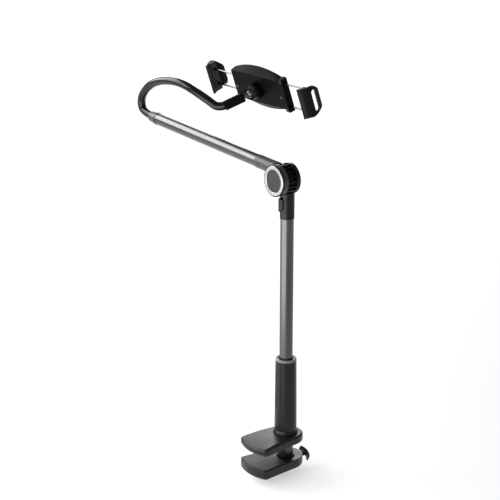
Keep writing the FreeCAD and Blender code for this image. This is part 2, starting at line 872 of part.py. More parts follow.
def arm_ferrule():
    inner = arm_tube_radius - tube_wall
    body = revolved([
        (neck_tube_radius, arm_tube_end - ferrule_in_tube),
        (inner, arm_tube_end - ferrule_in_tube),
        (inner, arm_tube_end),
        (arm_tube_radius + 0.5, arm_tube_end),
        (arm_tube_radius + 0.5, arm_tube_end + 4),
        (ferrule_end_radius, arm_end - 2),
        (ferrule_end_radius - 1.5, arm_end),
        (neck_tube_radius, arm_end),
    ])
    return moved(body, arm_frame)


# Bendable neck

def neck_corners():
    """The route's points, with the radius that rounds each inner one."""
    start = arm_frame.multVec(Vector(0, 0, arm_end - neck_in_ferrule))
    mouth = sleeve_start + sleeve_length
    points = [start] + [arm_tip + Vector(*point) for point in neck_route]
    points.append(stud_frame.multVec(Vector(0, 0, mouth + neck_run_out)))
    points.append(stud_frame.multVec(Vector(0, 0, mouth - neck_in_sleeve)))
    corners = [(points[0], 0)]
    for before, point, after in zip(points, points[1:], points[2:]):
        turn = (point - before).getAngle(after - point)
        shorter = min((point - before).Length, (after - point).Length)
        corners.append((point, bend_share * shorter / math.tan(turn / 2)))
    corners.append((points[-1], 0))
    return corners


def neck_pipe(radius):
    corners = neck_corners()
    path = Part.Wire(path_edges(corners))
    start = corners[0][0]
    profile = Part.Wire([Part.makeCircle(radius, start, corners[1][0] - start)])
    return path.makePipeShell([profile], True, False)


def gooseneck_core():
    return neck_pipe(neck_core_radius)


def gooseneck_cover():
    return neck_pipe(neck_tube_radius).cut(neck_pipe(neck_core_radius))


def end_sleeve():
    near = sleeve_start + slack
    mouth = sleeve_start + sleeve_length
    room = sleeve_start + stud_shank_length + slack
    body = revolved([
        (stud_shank_radius + fit, near),
        (end_sleeve_radius - 1.6, near),
        (end_sleeve_radius, near + 1.6),
        (end_sleeve_radius, mouth - end_sleeve_taper),
        (end_sleeve_radius - end_sleeve_taper, mouth),
        (neck_tube_radius, mouth),
        (neck_tube_radius, mouth - neck_in_sleeve),
        (stud_clip_radius + 0.5, mouth - neck_in_sleeve),
        (stud_clip_radius + 0.5, room),
        (stud_shank_radius + fit, room),
    ])
    return moved(body, stud_frame)


# Ball joint

def ball_stud():
    ball = Part.makeSphere(ball_radius)
    neck = cylinder(stud_neck_radius, 0, sleeve_start)
    shank = cylinder(stud_shank_radius, sleeve_start, clip_start() + stud_clip_thick + 0.8)
    return moved(ball.fuse([neck, shank]).removeSplitter(), stud_frame)


def clip_start():
    return sleeve_start + stud_shank_length + 2 * slack


def stud_clip():
    start = clip_start()
    return moved(ring(stud_clip_radius, stud_shank_radius, start, start + stud_clip_thick), stud_frame)


def ball_seat():
    body = cylinder(seat_radius, seat_bottom, seat_top)
    body = body.cut(Part.makeSphere(ball_radius + fit, Vector(0, 0, ball_standoff)))
    return moved(body, holder_frame)


def lock_nut():
    lip = seat_top + slack
    body = revolved([
        (boss_radius + fit, nut_bottom),
        (nut_radius - 0.6, nut_bottom),
        (nut_radius, nut_bottom + 0.6),
        (nut_radius, nut_wide_top - 0.8),
        (nut_radius - 0.8, nut_wide_top),
        (nut_cone_radius, nut_wide_top),
        (seat_radius + 0.2, nut_top),
        (nut_lip_radius, nut_top),
        (nut_lip_radius, lip),
        (seat_radius + fit, lip),
        (seat_radius + fit, boss_top),
        (boss_radius + fit, boss_top),
    ])
    groove = cylinder(nut_groove_radius, nut_bottom - 1, nut_wide_top + 0.01,
                      nut_radius + nut_groove_radius - nut_rib_depth)
    for cutter in around(groove, nut_rib_count):
        body = body.cut(cutter)
    return moved(body, holder_frame)


# Tray

def tray_outline(half_length, end_half, crown_half):
    """A long outline with bowed long sides."""
    top_right = Vector(half_length, end_half, 0)
    top_left = Vector(-half_length, end_half, 0)
    low_left = Vector(-half_length, -end_half, 0)
    low_right = Vector(half_length, -end_half, 0)
    return Part.Wire([
        Part.Arc(top_right, Vector(0, crown_half, 0), top_left).toShape(),
        Part.makeLine(top_left, low_left),
        Part.Arc(low_left, Vector(0, -crown_half, 0), low_right).toShape(),
        Part.makeLine(low_right, top_right),
    ])


def tray_section(station, inset, extra):
    """The tray's outline at a station, between its front and back outlines."""
    share = (station - tray_cover_back) / (tray_back_face - tray_cover_back)
    end_half = tray_end_half_height + share * (tray_back_half_height - tray_end_half_height)
    crown_half = tray_crown_half_height + share * (tray_back_half_height + 0.6 - tray_crown_half_height)
    wire = tray_outline(tray_half_length + extra, end_half - inset, crown_half - inset)
    wire.translate(Vector(0, 0, station))
    return wire


def tray_screw(side):
    """A screw from the tray's back through the bracket's tongue into the front plate."""
    return small_screw(side * tray_screw_p, tray_screw_q, tray_back_face)


def small_screw(p, q, back):
    top = back - small_screw_sunk
    shank = cylinder(small_screw_radius, tray_cover_front + small_screw_bite, top, p, q)
    head = Part.makeCone(small_screw_radius, 2 * small_screw_radius, small_screw_radius,
                         Vector(p, q, top - small_screw_radius))
    recess = cylinder(small_recess_radius, back - small_recess_depth, back, p, q)
    return shank.fuse(head).removeSplitter().cut(recess)


def screw_hole(p, q, back):
    """The room for a small screw."""
    top = back - small_screw_sunk
    shank = cylinder(small_screw_radius, tray_cover_front + small_screw_bite, back + 1, p, q)
    head = Part.makeCone(small_screw_radius, 2 * small_screw_radius, small_screw_radius,
                         Vector(p, q, top - small_screw_radius))
    return shank.fuse([head, cylinder(2 * small_screw_radius, top, back + 1, p, q)])


def tray_holes():
    return [screw_hole(side * tray_screw_p, tray_screw_q, tray_back_face) for side in (-1, 1)]


def bracket_holes():
    middle = tray_half_length + bracket_thick / 2
    return [screw_hole(middle, q, bracket_back) for q in (-bracket_screw_height, bracket_screw_height)]


def tray_room(inset):
    """The hollow of the tray's back, drawn in by an inset."""
    inner_station = tray_back_face - tray_wall
    return Part.makeLoft([
        tray_section(tray_cover_back - 0.01, tray_wall + inset, 1),
        tray_section(inner_station, tray_wall + inset, 1),
    ], True, True)


def tray_back():
    inner_station = tray_back_face - tray_wall
    outer = Part.makeLoft([tray_section(tray_cover_back, 0, 0), tray_section(tray_back_face, 0, 0)], True, True)
    body = outer.cut(tray_room(0))
    body = body.fuse(cylinder(boss_radius, inner_station, boss_top)).removeSplitter()
    body = body.cut(Part.makeSphere(ball_radius + slack, Vector(0, 0, ball_standoff)))
    for hole in tray_holes():
        body = body.cut(hole)
    return moved(body, holder_frame)


def tray_front():
    body = prism(tray_outline(tray_half_length, tray_end_half_height, tray_crown_half_height),
                 tray_cover_front, tray_cover_back)
    end = tray_half_length + bracket_thick
    height = bracket_half_height
    body = body.fuse(box(tray_half_length, end, -height, height, tray_cover_front, tray_cover_back))
    pad = tray_outline(tray_half_length - tray_pad_inset, tray_end_half_height - tray_pad_inset,
                       tray_crown_half_height - tray_pad_inset)
    body = body.removeSplitter().cut(prism(pad, tray_cover_front - 1, tray_cover_front + tray_pad_sunk))
    for hole in tray_holes() + bracket_holes():
        body = body.cut(hole)
    return moved(body, holder_frame)


def tray_pad():
    pad = tray_outline(tray_half_length - tray_pad_inset, tray_end_half_height - tray_pad_inset,
                       tray_crown_half_height - tray_pad_inset)
    return moved(prism(pad, 0, tray_cover_front + tray_pad_sunk), holder_frame)


def rod_spread(side):
    return left_rod_spread if side < 0 else right_rod_spread


def along_rods(side, make):
    """A group of pieces on one jaw's two rods, each made with its length along Z."""
    along = Placement(origin, Rotation(Y, 90 * side))
    shapes = []
    for q in (-rod_spread(side), rod_spread(side)):
        shapes.append(moved(make(), along, Placement(Vector(0, q, rod_plane), Rotation()), holder_frame))
    return Part.makeCompound(shapes)


def guided(block, side):
    """A block with the bores of one jaw's rods and the holes of its screws, put on the holder."""
    reach = side * (tray_half_length + bracket_thick)
    for q in (-rod_spread(side), rod_spread(side)):
        start = Vector(min(reach, 0), q, rod_plane)
        block = block.cut(Part.makeCylinder(rod_radius + fit, abs(reach), start, X))
    for hole in tray_holes() + bracket_holes():
        block = block.cut(hole)
    return moved(block, holder_frame)


def end_bracket_left():
    """A rod guide inside the tray's left end, flush with it."""
    far = bracket_thick - tray_half_length
    height = bracket_half_height
    slab = box(-tray_half_length, far, -height, height, tray_cover_back, tray_back_face)
    return guided(tray_room(fit).common(slab), -1)


def end_bracket_right():
    """A rod guide that stands past the tray's right end, with a tongue inside it."""
    near = tray_half_length
    height = bracket_half_height
    block = box(near, near + bracket_thick, -height, height, tray_cover_back, bracket_back)
    block = block.makeFillet(bracket_round, [e for e in block.Edges if within(e, bracket_back, bracket_back) and
                                             e.BoundBox.YLength < 0.01])
    tongue = box(near - tongue_length, near, -tongue_half_height, tongue_half_height,
                 tray_cover_back, tray_back_face - tray_wall)
    return guided(block.fuse(tongue).removeSplitter(), 1)


def tray_screws():
    return Part.makeCompound([moved(tray_screw(side), holder_frame) for side in (-1, 1)])


def bracket_screws():
    middle = tray_half_length + bracket_thick / 2
    return Part.makeCompound([
        moved(small_screw(middle, q, bracket_back), holder_frame)
        for q in (-bracket_screw_height, bracket_screw_height)
    ])


def rods(side):
    return along_rods(side, lambda: cylinder(rod_radius, rod_inner_end, rod_outer_end))


def rod_stops(side):
    far = rod_inner_end + rod_stop_length
    return along_rods(side, lambda: ring(rod_stop_radius, rod_radius, rod_inner_end, far))


def jaw_springs(side):
    """The springs between the rods' stops and the block that guides them."""
    far = tray_half_length - (bracket_thick if side < 0 else 0)
    return along_rods(side, lambda: ring(spring_radius, spring_inner, rod_inner_end + rod_stop_length, far))


# Jaws, drawn on the +p side and mirrored for the other

def side_view(inset):
    """A prism through the jaw with the outline that shows from its side."""
    points = [(r, q - math.copysign(inset, q), max(radius - inset, 0.0)) for r, q, radius in jaw_side]
    face = Part.Face(rounded(points))
    face.Placement = Placement(Vector(jaw_cut_start, 0, 0), Rotation(Y, -90))
    return face.extrude(Vector(jaw_cut_length, 0, 0))


def jaw_strip(near, far, inset):
    """A layer of the jaw between two depths in from its outer skin."""
    face = Part.Face(band(jaw_section, near, far))
    face.Placement = Placement(Vector(0, jaw_half_height, 0), Rotation(X, 90))
    layer = face.extrude(Vector(0, -2 * jaw_half_height, 0))
    return layer.common(side_view(inset))


def jaw_hole(radius, length, q, r):
    """A round cutter through the jaw's outer wall, from inside."""
    return Part.makeCylinder(radius, length, Vector(jaw_cut_start, q, r), X)


def slot_cutter():
    half = slot_width / 2
    reach = slot_length / 2 - half
    bar = box(jaw_cut_start, jaw_cut_start + jaw_cut_length, -reach, reach, -half, half)
    return bar.fuse([jaw_hole(half, jaw_cut_length, q, 0) for q in (-reach, reach)])


def jaw(side):
    body = jaw_strip(0, jaw_wall, 0)
    spread = (-rod_spread(side), rod_spread(side))
    length = rod_outer_end + rod_boss_floor - rod_boss_start
    for q in spread:
        body = body.fuse(Part.makeCylinder(rod_boss_radius, length, Vector(rod_boss_start, q, rod_plane), X))
    body = body.removeSplitter()
    body = body.cut(slot_cutter())
    for q in spread:
        body = body.cut(jaw_hole(rod_radius, rod_outer_end - jaw_cut_start, q, rod_plane))
    if side < 0:
        body = body.mirror(origin, X)
    return moved(body, holder_frame)


def jaw_pad(side):
    """The jaw's lining, open at the right jaw's slot only."""
    body = jaw_strip(jaw_wall, jaw_wall + jaw_pad_thick, jaw_pad_inset)
    if side > 0:
        body = body.cut(slot_cutter())
    for q in (-rod_spread(side), rod_spread(side)):
        body = body.cut(jaw_hole(rod_boss_radius, jaw_cut_length, q, rod_plane))
    if side < 0:
        body = body.mirror(origin, X)
    return moved(body, holder_frame)


# Every piece, each in a file of its own

pieces = {
    "upper_jaw": upper_jaw,
    "upper_pad": upper_pad,
    "column": column,
    "flange_screws": flange_screws,
    "base_sleeve": base_sleeve,
    "sleeve_ring": sleeve_ring,
    "lower_bush": lower_bush,
    "lower_jaw": lower_jaw,
    "lower_pad": lower_pad,
    "guide_collar": guide_collar,
    "screw_insert": lambda: moved(screw_insert(), wing_frame),
    "wing_screw": lambda: moved(wing_screw(), wing_frame),
    "wing_handle": lambda: moved(wing_handle(), wing_frame),
    "mast_tube": mast_tube,
    "mast_plug": mast_plug,
    "swivel_bolt": swivel_bolt,
    "thrust_washer": thrust_washer,
    "joint_neck": joint_neck,
    "release_latch": release_latch,
    "ratchet_pawl": ratchet_pawl,
    "latch_spring": latch_spring,
    "pivot_bolt": pivot_bolt,
    "pivot_nut": pivot_nut,
    "friction_washers": friction_washers,
    "ratchet_ring": ratchet_ring,
    "arm_head": arm_head,
    "head_rim": head_rim,
    "ring_trim": ring_trim,
    "disc_cap": disc_cap,
    "arm_tube": arm_tube,
    "arm_ferrule": arm_ferrule,
    "gooseneck_core": gooseneck_core,
    "gooseneck_cover": gooseneck_cover,
    "end_sleeve": end_sleeve,
    "ball_stud": ball_stud,
    "stud_clip": stud_clip,
    "ball_seat": ball_seat,
    "lock_nut": lock_nut,
    "tray_back": tray_back,
    "tray_front": tray_front,
    "tray_pad": tray_pad,
    "end_bracket_left": end_bracket_left,
    "end_bracket_right": end_bracket_right,
    "tray_screws": tray_screws,
    "bracket_screws": bracket_screws,
    "rods_left": lambda: rods(-1),
    "rods_right": lambda: rods(1),
    "rod_stops_left": lambda: rod_stops(-1),
    "rod_stops_right": lambda: rod_stops(1),
    "jaw_springs_left": lambda: jaw_springs(-1),
    "jaw_springs_right": lambda: jaw_springs(1),
    "jaw_left": lambda: jaw(-1),
    "jaw_right": lambda: jaw(1),
    "jaw_pad_left": lambda: jaw_pad(-1),
    "jaw_pad_right": lambda: jaw_pad(1),
}

os.makedirs("parts", exist_ok=True)
for name, make in pieces.items():
    shape = make()
    shape.exportStep("parts/" + name + ".step")
    state = "valid" if shape.isValid() else "NOT VALID"
    print(name, state, len(shape.Solids), "solids", round(shape.Volume / 1000, 2), "cm3")

print("neck bends:", ", ".join("%.1f" % radius for _, radius in neck_corners()[1:-1]), "mm")
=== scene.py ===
import json
import math

import bmesh
import bpy
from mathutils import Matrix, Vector
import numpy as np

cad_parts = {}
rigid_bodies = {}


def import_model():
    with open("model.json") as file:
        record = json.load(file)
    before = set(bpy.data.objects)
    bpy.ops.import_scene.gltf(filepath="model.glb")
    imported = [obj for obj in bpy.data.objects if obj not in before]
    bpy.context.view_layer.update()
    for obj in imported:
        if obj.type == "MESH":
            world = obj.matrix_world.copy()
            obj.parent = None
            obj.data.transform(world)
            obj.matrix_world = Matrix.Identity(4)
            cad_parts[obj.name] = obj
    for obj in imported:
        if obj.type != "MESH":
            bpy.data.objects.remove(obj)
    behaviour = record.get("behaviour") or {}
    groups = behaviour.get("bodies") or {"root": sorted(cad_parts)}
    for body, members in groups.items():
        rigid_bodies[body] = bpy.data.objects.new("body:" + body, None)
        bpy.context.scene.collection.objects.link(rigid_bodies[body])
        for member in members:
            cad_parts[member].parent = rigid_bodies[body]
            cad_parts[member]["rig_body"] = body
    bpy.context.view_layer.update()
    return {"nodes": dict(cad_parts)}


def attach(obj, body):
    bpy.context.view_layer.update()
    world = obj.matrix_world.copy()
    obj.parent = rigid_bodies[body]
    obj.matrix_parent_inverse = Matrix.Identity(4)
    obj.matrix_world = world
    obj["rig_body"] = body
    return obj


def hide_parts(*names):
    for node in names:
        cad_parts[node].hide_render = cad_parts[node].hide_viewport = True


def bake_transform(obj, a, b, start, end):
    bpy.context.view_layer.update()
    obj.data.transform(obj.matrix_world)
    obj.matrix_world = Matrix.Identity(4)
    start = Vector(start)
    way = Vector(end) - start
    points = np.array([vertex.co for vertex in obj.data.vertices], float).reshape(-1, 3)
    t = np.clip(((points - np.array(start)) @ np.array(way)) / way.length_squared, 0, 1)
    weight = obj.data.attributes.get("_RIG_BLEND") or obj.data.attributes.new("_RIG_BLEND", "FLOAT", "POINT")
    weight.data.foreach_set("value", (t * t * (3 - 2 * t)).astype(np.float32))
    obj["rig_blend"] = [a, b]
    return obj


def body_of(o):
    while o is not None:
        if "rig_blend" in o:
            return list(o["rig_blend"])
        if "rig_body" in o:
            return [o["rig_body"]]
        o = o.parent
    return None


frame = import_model()
nodes = frame["nodes"]

# The camera fitted to the photograph: place and reach in metres, lens and sensor in millimetres
camera_place = Vector((1.7984, -1.4140, 1.0625))
camera_aim = Vector((-0.7638, 0.5693, -0.3040))
camera_lens = 108.0
camera_sensor = 36.0
camera_reach = 20.0

# The bendable neck's route, the same points as the part's source, in metres
neck_radius = 0.00725
neck_route = [
    (-0.3550, -0.0120, 0.4861),
    (-0.3960, -0.0120, 0.4883),
    (-0.4040, -0.0130, 0.5080),
    (-0.3890, -0.0150, 0.5290),
    (-0.3580, -0.0170, 0.5485),
    (-0.3160, -0.0190, 0.5605),
    (-0.2680, -0.0180, 0.5635),
    (-0.2300, -0.0130, 0.5525),
    (-0.2050, -0.0060, 0.5415),
    (-0.1875, 0.0025, 0.5301),
    (-0.1772, 0.0173, 0.5387),
]
neck_steps = 24
neck_bevel_steps = 10
flex_start = (-0.330, -0.019, 0.560)
flex_end = (-0.195, -0.005, 0.540)

# The straight tubes, in metres, with the arm's axis beside the mast's and above the hinge's
hinge_height = 0.451
mast_bottom = 0.027
mast_top = hinge_height - 0.065
mast_radius = 0.011
arm_side = 0.012
arm_offset = 0.0152
arm_rise = math.radians(3.2)
arm_tube_start = 0.028
arm_tube_end = 0.347
arm_tube_radius = 0.01075
tube_wall = 0.0015
tube_ease = 0.0003
tube_rings = 40
tube_sides = 128

# The holder's own frame: its origin in metres, its lean back, and half the tray's length in millimetres
holder_place = Vector((-0.157, 0.0717, 0.5642))
holder_lean = math.radians(19.0)
tray_half_length = 66.0

# The jaw's side outline where it is narrower than its frame node, as r and q in millimetres
upper_corner = [
    (8.0, 27.5), (1.0, 26.2), (-3.8, 23.6), (-8.5, 19.2), (-12.0, 14.0), (-14.6, 8.5), (-15.5, 4.0),
]
lower_corner = [
    (15.0, -27.5), (9.0, -26.2), (4.5, -24.2), (-1.0, -21.2),
    (-7.0, -17.6), (-12.0, -13.4), (-15.2, -8.0), (-15.6, -4.0),
]
jaw_corners = {"jaw_left": [upper_corner], "jaw_right": [upper_corner, lower_corner]}
jaw_middle = 8.0
lining_inset = 1.5
cut_tolerance = 1e-7
crease_angle = math.radians(32.0)

# The lining's flat grip and its diamonds, in millimetres of the holder's frame or as shares
grip_face = tray_half_length + 59.4
grip_mid = tray_half_length + 61.5
grip_deep = tray_half_length + 68.0
grip_back = 21.4
grip_slope_end = 7.0
grip_low = {"left": 1.2, "right": 7.4}
grip_half_height = 25.6
grip_ease = 1.2
diamond_width = 5.8
diamond_pitch = 8.0
diamond_share = 0.45
diamond_top_share = 0.55
diamond_height = 0.7
diamond_root = 0.2
diamond_rows = 5

# The lock nut's cone, and the rings on it with their section, in millimetres along the holder's r
nut_cone_start = 22.0
nut_cone_wide = 12.5
nut_cone_slope = 0.198
nut_ring_stations = (24.4, 27.0, 29.6)
nut_ring_section = [(-0.55, -0.2), (-0.3, 0.35), (0.3, 0.35), (0.55, -0.2)]
nut_ring_turns = 72

# The floor, in metres: just under the lower jaw's lowest place, and where its glow changes
floor_height = -0.0555
floor_size = 40.0
floor_near = 1.20
floor_far = 2.30
floor_away = (-0.80, 0.60, 0.0)
floor_front = -0.50
floor_behind = -0.12
floor_lamp_edge = -0.65
floor_lamp_fade = 0.8

# How pale the floor is, how brightly its parts glow, and the world's light, where 1 is white
floor_colour = 0.50
floor_glow_front = 0.28
floor_glow_near = 0.50
floor_glow_edge = 0.55
floor_glow_far = 0.90
world_light = 0.32

# Where nearly all of a noise lies
noise_low = 0.3
noise_high = 0.7

# Tints, as shares of red, green and blue
untinted = (1.0, 1.0, 1.0)
warm = (1.05, 1.0, 0.96)
brown = (1.08, 1.0, 0.94)
bluish = (0.97, 1.0, 1.04)
faint_blue = (0.98, 1.0, 1.03)
faint_cyan = (0.98, 1.0, 1.0)
brassy = (1.0, 0.82, 0.45)


# Materials

def shade(value, tint=untinted):
    """A grey of a value from 0 to 1, tinted."""
    return (value * tint[0], value * tint[1], value * tint[2], 1.0)


class Shader:
    """A node material built step by step."""

    def __init__(self, name):
        self.material = bpy.data.materials.new(name)
        self.material.use_nodes = True
        self.tree = self.material.node_tree
        self.surface = self.tree.nodes["Principled BSDF"]
        self.place = self.node("ShaderNodeTexCoord", {}).outputs["Object"]

    def feed(self, node, inputs):
        """Give inputs, by name or number, a plain value or another node's output."""
        for key, value in inputs.items():
            if isinstance(value, bpy.types.NodeSocket):
                self.tree.links.new(value, node.inputs[key])
            else:
                node.inputs[key].default_value = value
        return node

    def node(self, kind, inputs):
        return self.feed(self.tree.nodes.new(kind), inputs)

    def combine(self, operation, first, second):
        """What a Math node makes of two values."""
        step = self.node("ShaderNodeMath", {0: first, 1: second})
        step.operation = operation
        return step.outputs[0]

    def ramp(self, value, start, end, start_level, end_level):
        """A level that goes along with a value between two of its marks and holds beyond them."""
        step = self.node("ShaderNodeMapRange", {
            "Value": value, "From Min": start, "From Max": end, "To Min": start_level, "To Max": end_level})
        return step.outputs["Result"]

    def turned_then_scaled(self, rotation, scale):
        """The object's coordinates, turned and then stretched."""
        turn = self.node("ShaderNodeMapping", {"Vector": self.place, "Rotation": rotation})
        stretch = self.node("ShaderNodeMapping", {"Vector": turn.outputs["Vector"], "Scale": scale})
        return stretch.outputs["Vector"]

    def noise(self, vector, scale, detail=4.0):
        """Soft noise, with scale as its waves in a metre."""
        step = self.node("ShaderNodeTexNoise", {
            "Vector": vector, "Scale": scale, "Detail": detail, "Roughness": 0.55})
        return step.outputs["Fac"]

    def spread(self, noise, low, high):
        """Noise stretched from the middle of its range to between two values."""
        return self.ramp(noise, noise_low, noise_high, low, high)

    def mottle(self, noise, value, darkest, lightest, tint=untinted):
        """A colour that wanders with noise between two shares of its value."""
        step = self.tree.nodes.new("ShaderNodeMix")
        step.data_type = "RGBA"
        self.feed(step, {
            "Factor": self.spread(noise, 0.0, 1.0),
            "A": shade(value * darkest, tint),
            "B": shade(value * lightest, tint),
        })
        return step.outputs["Result"]

    def bump(self, height, distance, strength, under=None):
        step = self.node("ShaderNodeBump", {"Height": height, "Distance": distance, "Strength": strength})
        if under is not None:
            self.feed(step, {"Normal": under})
        return step.outputs["Normal"]

    def soft_edges(self, radius):
        step = self.node("ShaderNodeBevel", {"Radius": radius})
        step.samples = 6
        return step.outputs["Normal"]


def plastic(name, value, roughness, grain, edge, specular=0.5, tint=untinted):
    """Moulded plastic: fine grain, faint blotches and softened edges."""
    s = Shader(name)
    cloud = s.noise(s.place, scale=60.0)
    fine = s.noise(s.place, scale=2600.0, detail=2.0)
    s.feed(s.surface, {
        "Base Color": s.mottle(cloud, value, darkest=0.85, lightest=1.18, tint=tint),
        "Roughness": s.spread(cloud, roughness - 0.04, roughness + 0.05),
        "Specular IOR Level": specular,
        "Normal": s.bump(fine, grain, strength=0.6, under=s.soft_edges(edge)),
    })
    return s.material


def rubber(name, value, cell_scale, depth, roughness):
    """Soft pad: matt, with a fine stipple."""
    s = Shader(name)
    cells = s.node("ShaderNodeTexVoronoi", {"Vector": s.place, "Scale": cell_scale})
    cloud = s.noise(s.place, scale=90.0)
    s.feed(s.surface, {
        "Base Color": s.mottle(cloud, value, darkest=0.85, lightest=1.15),
        "Roughness": roughness,
        "Specular IOR Level": 0.3,
        "Normal": s.bump(cells.outputs["Distance"], depth, strength=0.7, under=s.soft_edges(0.0006)),
    })
    return s.material


def anodised(name, value, roughness, tint, lean=(0.0, 0.0, 0.0)):
    """Drawn tube: fine lines along its length under a matt anodised coat."""
    s = Shader(name)
    along = s.turned_then_scaled(lean, scale=(1.0, 1.0, 0.015))
    lines = s.noise(along, scale=1400.0, detail=3.0)
    cloud = s.noise(s.place, scale=25.0)
    s.feed(s.surface, {
        "Base Color": s.mottle(lines, value, darkest=0.92, lightest=1.08, tint=tint),
        "Metallic": 1.0,
        "Roughness": s.spread(cloud, roughness - 0.03, roughness + 0.03),
        "Normal": s.bump(lines, distance=0.000002, strength=0.3),
    })
    return s.material


def metal(name, value, roughness, tint=untinted):
    """Turned or plated metal with faint marks."""
    s = Shader(name)
    cloud = s.noise(s.place, scale=300.0)
    s.feed(s.surface, {
        "Base Color": s.mottle(cloud, value, darkest=0.93, lightest=1.05, tint=tint),
        "Metallic": 1.0,
        "Roughness": s.spread(cloud, roughness - 0.04, roughness + 0.05),
        "Normal": s.soft_edges(0.0003),
    })
    return s.material


black_clamp = plastic(
    "clamp black", 0.005, roughness=0.34, grain=0.00004, edge=0.0010, specular=0.32, tint=warm)
black_sleeve = plastic(
    "sleeve black", 0.007, roughness=0.30, grain=0.00002, edge=0.0004, specular=0.26, tint=brown)
black_jaw = plastic("jaw black", 0.004, roughness=0.36, grain=0.00003, edge=0.0008, specular=0.10)
black_tray = plastic("tray black", 0.003, roughness=0.40, grain=0.00002, edge=0.0008, specular=0.03)
black_neck = plastic("neck gloss", 0.001, roughness=0.08, grain=0.000002, edge=0.0001, specular=0.28)
joint_black = plastic("joint black", 0.004, roughness=0.24, grain=0.00001, edge=0.0005, specular=0.22)
drum_black = plastic("drum black", 0.002, roughness=0.28, grain=0.00001, edge=0.0004, specular=0.10)
joint_grey = plastic("arm head grey", 0.040, roughness=0.30, grain=0.00001, edge=0.0002, specular=0.35)
disc_grey = plastic("disc grey", 0.020, roughness=0.42, grain=0.00002, edge=0.0004, specular=0.25)
light_ring = plastic("ring light", 0.15, roughness=0.35, grain=0.00001, edge=0.0004)
ring_black = plastic("nut rings", 0.010, roughness=0.22, grain=0.00001, edge=0.0002)
grip_rubber = plastic("grip rubber", 0.006, roughness=0.40, grain=0.00003, edge=0.0003, specular=0.40)
pad_rubber = rubber("pad rubber", 0.010, cell_scale=900.0, depth=0.00008, roughness=0.80)
clamp_rubber = rubber("clamp pad rubber", 0.040, cell_scale=600.0, depth=0.0003, roughness=0.50)
mast_metal = anodised("mast anodised", 0.100, roughness=0.25, tint=bluish)
arm_metal = anodised(
    "arm anodised", 0.110, roughness=0.24, tint=faint_blue, lean=(0.0, math.pi / 2 - arm_rise, 0.0))
silver = metal("trim silver", 0.50, roughness=0.24, tint=faint_cyan)
bright_steel = metal("bright steel", 0.42, roughness=0.10)
rod_steel = metal("rod steel", 0.16, roughness=0.12)
dark_steel = metal("dark steel", 0.07, roughness=0.30, tint=warm)
brass = metal("insert brass", 0.60, roughness=0.30, tint=brassy)

looks = {
    black_clamp: ["upper_jaw", "lower_jaw", "guide_collar", "wing_handle", "lower_bush", "mast_plug"],
    black_sleeve: ["base_sleeve"],
    black_jaw: ["jaw_left", "jaw_right"],
    black_tray: [
        "tray_back", "tray_front", "end_bracket_left", "end_bracket_right",
        "lock_nut", "ball_seat", "end_sleeve",
    ],
    joint_black: ["joint_neck", "release_latch"],
    drum_black: ["head_rim", "ratchet_ring"],
    joint_grey: ["arm_head", "arm_ferrule"],
    disc_grey: ["disc_cap"],
    light_ring: ["sleeve_ring"],
    clamp_rubber: ["upper_pad", "lower_pad"],
    pad_rubber: ["tray_pad", "jaw_pad_left", "jaw_pad_right"],
    mast_metal: ["mast_tube"],
    arm_metal: ["arm_tube"],
    silver: ["ring_trim"],
    bright_steel: ["rod_stops_left", "rod_stops_right", "jaw_springs_left", "jaw_springs_right"],
    dark_steel: [
        "column", "flange_screws", "wing_screw", "swivel_bolt", "thrust_washer", "ratchet_pawl",
        "latch_spring", "pivot_bolt", "pivot_nut", "friction_washers", "ball_stud", "stud_clip",
        "gooseneck_core", "tray_screws", "bracket_screws",
    ],
    brass: ["screw_insert"],
    rod_steel: ["rods_left", "rods_right"],
    black_neck: ["gooseneck_cover"],
}
for look, names in looks.items():
    for name in names:
        mesh = nodes[name].data
        mesh.materials.clear()
        mesh.materials.append(look)


# Helpers for the pieces that are made here

def in_holder(p, q, r):
    """A point in metres from millimetres in the holder's frame: p right, q up and r out of its back."""
    upright = Vector((0, -math.sin(holder_lean), math.cos(holder_lean)))
    outward = Vector((0, -math.cos(holder_lean), -math.sin(holder_lean)))
    return holder_place + (Vector((p, 0, 0)) + upright * q + outward * r) / 1000


def bridge(shape, here, there):
    """Faces between two closed loops of as many points."""
    for index in range(len(here)):
        after = (index + 1) % len(here)
        shape.faces.new((here[index], there[index], there[after], here[after]))


def bridge_round(shape, sections):
    """Faces from each section to the next, and from the last one to the first."""
    for here, there in zip(sections, sections[1:] + sections[:1]):
        bridge(shape, here, there)


def finish_mesh(shape, name, look, body):
    """An object from a bmesh, smooth up to its creases, that moves with a body."""
    mesh = bpy.data.meshes.new(name)
    bmesh.ops.recalc_face_normals(shape, faces=shape.faces)
    for face in shape.faces:
        face.smooth = True
    shape.to_mesh(mesh)
    shape.free()
    mesh.set_sharp_from_angle(angle=crease_angle)
    mesh.materials.append(look)
    piece = bpy.data.objects.new(name, mesh)
    bpy.context.scene.collection.objects.link(piece)
    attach(piece, body)
    return piece


# The bendable neck's smooth cover

def smooth_tube(name, points, radius):
    """A mesh tube along one smooth spline that its control points guide, in metres."""
    curve = bpy.data.curves.new(name, "CURVE")
    curve.dimensions = "3D"
    spline = curve.splines.new("NURBS")
    spline.points.add(len(points) - 1)
    for point, place in zip(spline.points, points):
        point.co = (*place, 1.0)
    spline.order_u = 3
    spline.use_endpoint_u = True
    spline.resolution_u = neck_steps
    curve.bevel_depth = radius
    curve.bevel_resolution = neck_bevel_steps
    curve.use_fill_caps = True
    shape = bpy.data.objects.new(name, curve)
    bpy.context.scene.collection.objects.link(shape)
    bpy.context.view_layer.update()
    graph = bpy.context.evaluated_depsgraph_get()
    mesh = bpy.data.meshes.new_from_object(shape.evaluated_get(graph))
    bpy.data.objects.remove(shape)
    tube = bpy.data.objects.new(name, mesh)
    bpy.context.scene.collection.objects.link(tube)
    for face in mesh.polygons:
        face.use_smooth = True
    return tube


